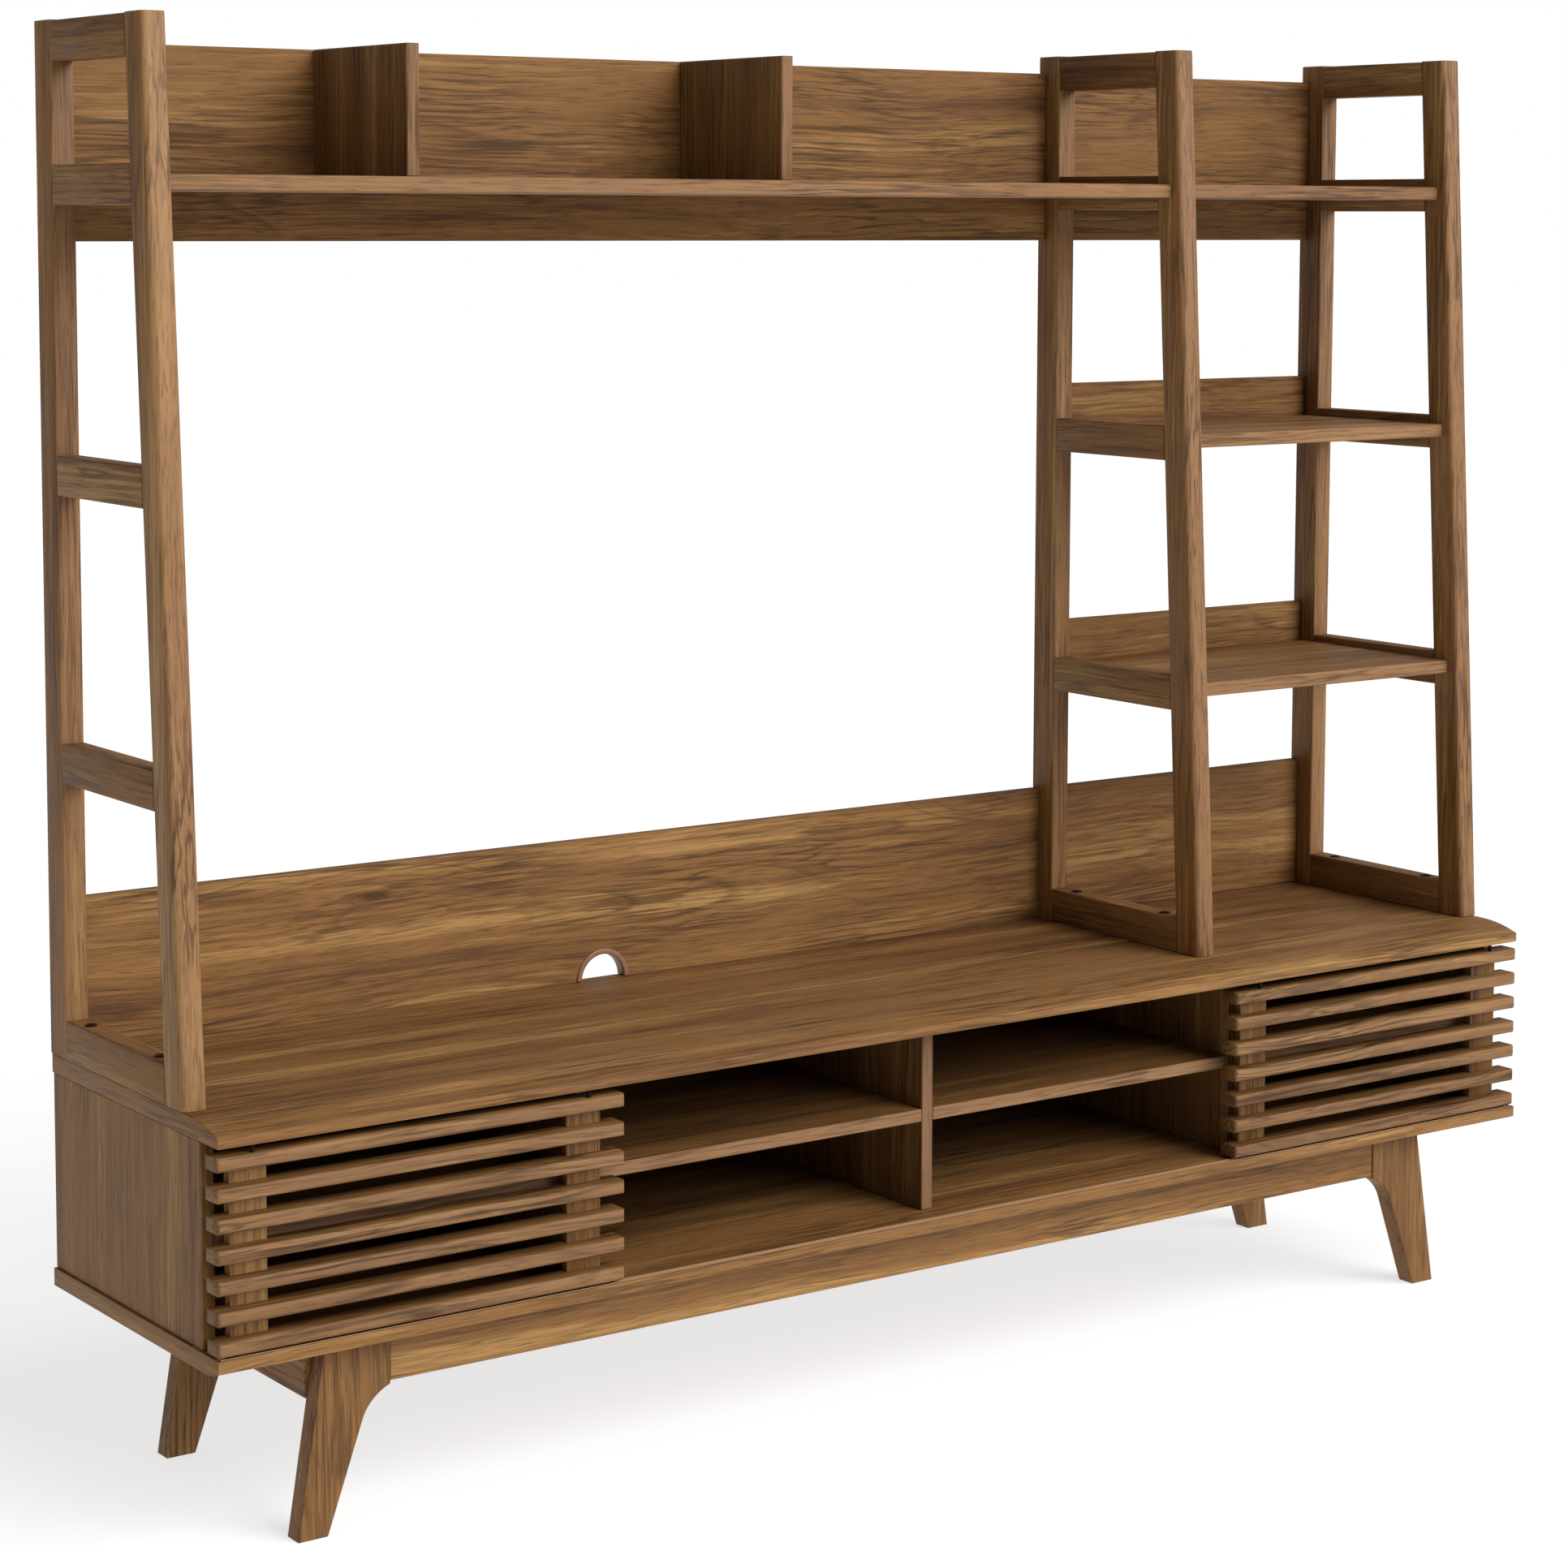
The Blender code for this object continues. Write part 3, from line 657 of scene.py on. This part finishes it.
class CABINET_OT_ladders(bpy.types.Operator):
    """Make the posts and crosspieces of the three ladders"""

    bl_idname = "cabinet.ladders"
    bl_label = "Ladders"

    def execute(self, context):
        for index, ladder in enumerate(LADDERS):
            self.rear_post(ladder + "_rear_post", 26.1 + 3.3 * index)
            self.front_post(ladder + "_front_post", 27.7 + 3.3 * index)
            for step, rail in enumerate(RAILS + ("bottom_rail",)):
                shift = 37.9 + 1.9 * step + 0.7 * index
                self.rail(f"{ladder}_{rail}", shift, rail == "bottom_rail")
        return {"FINISHED"}

    def rear_post(self, node, shift):
        low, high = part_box(node)
        post = block(node + "_solid", low, high)
        round_off(post, upright, context_size("post_ease"), 4)
        ease(post, 1.2 * MM, 2, SHARP_ANGLE)
        timber = wood("walnut_solid_" + node, "Z", shift, front_band_and_light=POST_FRONT_PAINTED_LIGHT)
        settle(post, timber, "cabinet", "frame_wood", node)

    def front_post(self, node, shift):
        low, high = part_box(node)
        deep = context_size("post_deep")
        lean = high.y - low.y - deep
        post = block(node + "_solid", low, (high.x, low.y + deep, high.z))
        front, back = low.y, low.y + deep
        for x, name in ((low.x, "post_round"), (high.x, "post_right")):
            round_off(
                post,
                lambda e: upright(e) and near(e.verts[0].co.y, front) and near(e.verts[0].co.x, x),
                context_size(name),
                8,
            )
        round_off(
            post,
            lambda e: upright(e) and near(e.verts[0].co.y, back),
            context_size("post_ease"),
            4,
        )
        move(post, lambda v: near(v.co.z, high.z), (0.0, lean, 0.0))
        ease(post, 1.2 * MM, 2, SHARP_ANGLE)
        timber = wood("walnut_solid_" + node, "Z", shift, front_band_and_light=POST_FRONT_PAINTED_LIGHT)
        settle(post, timber, "cabinet", "frame_wood", node)

    def rail(self, node, shift, bored):
        low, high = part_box(node)
        post_low, post_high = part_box(node.split("_ladder")[0] + "_ladder_front_post")
        deep = context_size("post_deep")
        slope = (post_high.y - post_low.y - deep) / (post_high.z - post_low.z)
        rail = block(node + "_solid", low, high)
        move(rail, lambda v: near(v.co.y, low.y) and near(v.co.z, high.z),
             (0.0, slope * (high.z - low.z), 0.0))
        ease(rail, context_size("rail_ease"), 3)
        if bored:
            middle = (low.x + high.x) / 2
            for y in bolt_places(low, high, slope):
                base = high.z - context_size("bore_deep")
                tool = rod("bore", context_size("bore_radius"), (middle, y, base),
                           (middle, y, high.z + PAST), 40)
                carve(rail, tool)
            make_active(rail)
            bpy.ops.object.shade_smooth_by_angle(angle=SMOOTH_ANGLE)
        timber = wood("walnut_solid_" + node, "Y", shift, tone=0.94)
        settle(rail, timber, "cabinet", "frame_wood", node)


class CABINET_OT_bolts(bpy.types.Operator):
    """Put a socket-head bolt in each hole of the ladders' bottom rails"""

    bl_idname = "cabinet.bolts"
    bl_label = "Bolts"

    def execute(self, context):
        # Blackened steel: rolled and oiled, dark with soft glints.
        shade = tuple(context.scene.cabinet_colours.steel)
        steel = plain("blackened_steel", shade, 0.38, 1.0, 900.0, 0.02 * MM)
        for ladder in LADDERS:
            node = ladder + "_bottom_rail"
            low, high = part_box(node)
            post_low, post_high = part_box(ladder + "_front_post")
            deep = context_size("post_deep")
            slope = (post_high.y - post_low.y - deep) / (post_high.z - post_low.z)
            middle = (low.x + high.x) / 2
            base = high.z - context_size("bore_deep")
            for end, y in zip(("front", "rear"), bolt_places(low, high, slope)):
                head = rod(f"{ladder}_{end}_bolt", BOLT_RADIUS, (middle, y, base),
                           (middle, y, base + BOLT_HIGH), 32)
                tool = rod("socket", SOCKET_RADIUS, (middle, y, base + SOCKET_FLOOR),
                           (middle, y, base + SOCKET_TOP), 6)
                carve(head, tool)
                ease(head, 0.4 * MM, 2)
                settle(head, steel, "cabinet", "track_metal")
        return {"FINISHED"}


class CABINET_OT_doors(bpy.types.Operator):
    """Make each sliding door's slats, stiles and guide pins"""

    bl_idname = "cabinet.doors"
    bl_label = "Sliding doors"

    def execute(self, context):
        # Moulded nylon: near black, dull, with a fine moulded grit.
        shade = tuple(context.scene.cabinet_colours.nylon)
        nylon = plain("moulded_nylon", shade, 0.7, 0.0, 700.0, 0.02 * MM, gloss=0.08)
        for index, side in enumerate(SIDES):
            self.make(side + "_door", nylon, 44.3 + 5.3 * index)
            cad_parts[side + "_door_runner"].material_slots[0].material = nylon
        return {"FINISHED"}

    def make(self, door, nylon, shift):
        sizes = bpy.context.scene.cabinet_sizes
        low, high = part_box(door)
        top = low.z + (sizes.slat_count - 1) * sizes.slat_pitch + sizes.slat_high
        far = (high.x, low.y + sizes.slat_deep, low.z + sizes.slat_high)
        slat = block(door + "_slat_1", low, far)
        round_off(
            slat, lambda e: all(near(v.co.y, low.y) for v in e.verts), sizes.slat_round, 5
        )
        ease(slat, 1.3 * MM, 2, SHARP_ANGLE)
        slats = [slat]
        for row in range(1, sizes.slat_count):
            step = (0.0, 0.0, row * sizes.slat_pitch)
            slats.append(copy_of(slat, f"{door}_slat_{row + 1}", step))
        finish = wood(
            "walnut_solid_" + door + "_slats", "X", shift, tone=0.8, figure=1.7, front_band_and_light=SLAT_FRONT_PAINTED_LIGHT
        )
        for piece in slats:
            settle(piece, finish, door, "slat_wood")
        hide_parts(door)
        upright_wood = wood("walnut_solid_" + door + "_stiles", "Z", shift + 2.1, tone=0.92)
        starts = (low.x + sizes.stile_in, high.x - sizes.stile_in - sizes.stile_wide)
        for hand, start in zip(SIDES, starts):
            stile = block(
                f"{door}_{hand}_stile",
                (start, low.y + sizes.stile_front, low.z + STILE_END),
                (start + sizes.stile_wide, low.y + sizes.stile_back, top - STILE_END),
            )
            ease(stile, 1.2 * MM, 3)
            settle(stile, upright_wood, door, "slat_wood")
            middle = (start + sizes.stile_wide / 2, low.y + PIN_BACK)
            pin = rod(f"{door}_{hand}_guide_pin", sizes.pin_radius, (*middle, top - PIN_IN),
                      (*middle, high.z), 24)
            ease(pin, 0.6 * MM, 3)
            settle(pin, nylon, door, "runner_nylon")


class CABINET_OT_fittings(bpy.types.Operator):
    """Finish the door tracks and make the cable hole's trim ring"""

    bl_idname = "cabinet.fittings"
    bl_label = "Tracks and trim ring"

    def execute(self, context):
        shades = context.scene.cabinet_colours
        # Powder-coated aluminium: baked brown paint, satin, over faint lines drawn along the metal.
        drawn = plain(
            "coated_aluminium", tuple(shades.track), 0.45, 0.0, 1500.0, 0.02 * MM, "X", 0.01
        )
        for node in ("lower_track", "upper_track"):
            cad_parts[node].material_slots[0].material = drawn
        low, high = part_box("cable_grommet")
        centre = ((low.x + high.x) / 2, 0.0, low.z)
        near_corner = (high.x - RING_WALL, low.y, low.z - 1 * MM)
        ring = block("cable_hole_ring", near_corner, (high.x + RING_BEDDED, high.y, low.z))
        pick(ring, "FACE", lambda f: f.normal.z < 0.5)
        bpy.ops.mesh.delete(type="FACE")
        pick(ring, "FACE", lambda f: True)
        bpy.ops.mesh.spin(steps=RING_STEPS, angle=-math.pi, center=centre, axis=(0.0, -1.0, 0.0))
        bpy.ops.mesh.select_all(action="SELECT")
        bpy.ops.mesh.remove_doubles(threshold=1e-6)
        bpy.ops.mesh.normals_make_consistent(inside=False)
        bpy.ops.object.mode_set(mode="OBJECT")
        ease(ring, 1.2 * MM, 3)
        # Moulded ABS: brown, satin, with a fine even grit.
        abs_plastic = plain("moulded_abs", tuple(shades.grommet), 0.42, 0.0, 500.0, 0.03 * MM)
        settle(ring, abs_plastic, "cabinet", "grommet_plastic", "cable_grommet")
        return {"FINISHED"}


class CABINET_OT_stage(bpy.types.Operator):
    """Set up the floor, the soft light and the camera"""

    bl_idname = "cabinet.stage"
    bl_label = "Studio"

    def execute(self, context):
        scene = context.scene
        self.floor(scene)
        self.world(scene)
        self.key_light()
        self.camera(scene)
        scene.view_settings.view_transform = "Standard"
        return {"FINISHED"}

    def floor(self, scene):
        deselect()
        bpy.ops.mesh.primitive_circle_add(vertices=96, radius=FLOOR_RADIUS, fill_type="NGON")
        floor = bpy.context.object
        floor.name = "studio_floor"
        # Seamless white paper: matt. Its glow stands for light from below, and hides its far edge.
        shade = tuple(scene.cabinet_colours.floor)
        paper = plain("lit_paper", shade, 0.9, 0.0, 400.0, 0.01 * MM, gloss=0.0)
        lit = paper.node_tree.nodes["Principled BSDF"]
        lit.inputs["Emission Color"].default_value = (1.0, 1.0, 1.0, 1.0)
        lit.inputs["Emission Strength"].default_value = FLOOR_GLOW
        floor.data.materials.append(paper)

    def world(self, scene):
        """White behind everything, and a softer white that lights the cabinet."""
        world = bpy.data.worlds.new("studio")
        scene.world = world
        world.use_nodes = True
        tree = world.node_tree
        tree.nodes.clear()
        white = (1, 1, 1, 1)
        seen = add_node(tree, "ShaderNodeBackground", inputs={"Color": white, "Strength": 1.0})
        lit = add_node(tree, "ShaderNodeBackground", inputs={"Color": white, "Strength": ROOM_LIGHT})
        path = add_node(tree, "ShaderNodeLightPath").outputs["Is Camera Ray"]
        sides = {0: path, 1: lit.outputs[0], 2: seen.outputs[0]}
        both = add_node(tree, "ShaderNodeMixShader", inputs=sides)
        add_node(tree, "ShaderNodeOutputWorld", inputs={"Surface": both.outputs[0]})

    def key_light(self):
        """A very broad, even light from the front and above, a little to the right."""
        deselect()
        bpy.ops.object.light_add(type="SUN", location=KEY_PLACE)
        light = bpy.context.object
        light.name = "key_light"
        light.data.energy = KEY_ENERGY
        light.data.angle = KEY_SPREAD
        light.rotation_euler = KEY_DIRECTION.to_track_quat("-Z", "Y").to_euler()

    def camera(self, scene):
        deselect()
        bpy.ops.object.camera_add(location=CAMERA_PLACE)
        camera = bpy.context.object
        level = math.cos(CAMERA_PITCH)
        forward = Vector(
            (math.sin(CAMERA_YAW) * level, math.cos(CAMERA_YAW) * level, math.sin(CAMERA_PITCH))
        )
        camera.rotation_mode = "QUATERNION"
        turned = forward.to_track_quat("-Z", "Y")
        camera.rotation_quaternion = turned @ Quaternion((0.0, 0.0, 1.0), CAMERA_ROLL)
        camera.data.lens = CAMERA_LENS
        camera.data.sensor_width = CAMERA_SENSOR
        camera.data.shift_y = CAMERA_SHIFT
        scene.camera = camera


class CABINET_PT_panel(bpy.types.Panel):
    """Lists the cabinet's pieces and sizes"""

    bl_label = "Media cabinet"
    bl_idname = "CABINET_PT_panel"
    bl_space_type = "VIEW_3D"
    bl_region_type = "UI"
    bl_category = "Cabinet"

    def draw(self, context):
        for operator in OPERATORS:
            self.layout.operator(operator.bl_idname)
        for group in (context.scene.cabinet_sizes, context.scene.cabinet_colours):
            for name in group.__annotations__:
                self.layout.prop(group, name)


OPERATORS = (
    CABINET_OT_panels,
    CABINET_OT_long_boards,
    CABINET_OT_legs,
    CABINET_OT_ladders,
    CABINET_OT_bolts,
    CABINET_OT_doors,
    CABINET_OT_fittings,
    CABINET_OT_stage,
)
CLASSES = (CabinetSizes, CabinetColours, *OPERATORS, CABINET_PT_panel)


def register():
    for cls in CLASSES:
        bpy.utils.register_class(cls)
    bpy.types.Scene.cabinet_sizes = bpy.props.PointerProperty(type=CabinetSizes)
    bpy.types.Scene.cabinet_colours = bpy.props.PointerProperty(type=CabinetColours)


def unregister():
    del bpy.types.Scene.cabinet_colours
    del bpy.types.Scene.cabinet_sizes
    for cls in reversed(CLASSES):
        bpy.utils.unregister_class(cls)


def main():
    register()
    bpy.ops.cabinet.panels()
    bpy.ops.cabinet.long_boards()
    bpy.ops.cabinet.legs()
    bpy.ops.cabinet.ladders()
    bpy.ops.cabinet.bolts()
    bpy.ops.cabinet.doors()
    bpy.ops.cabinet.fittings()
    bpy.ops.cabinet.stage()


if __name__ == "__main__":
    main()
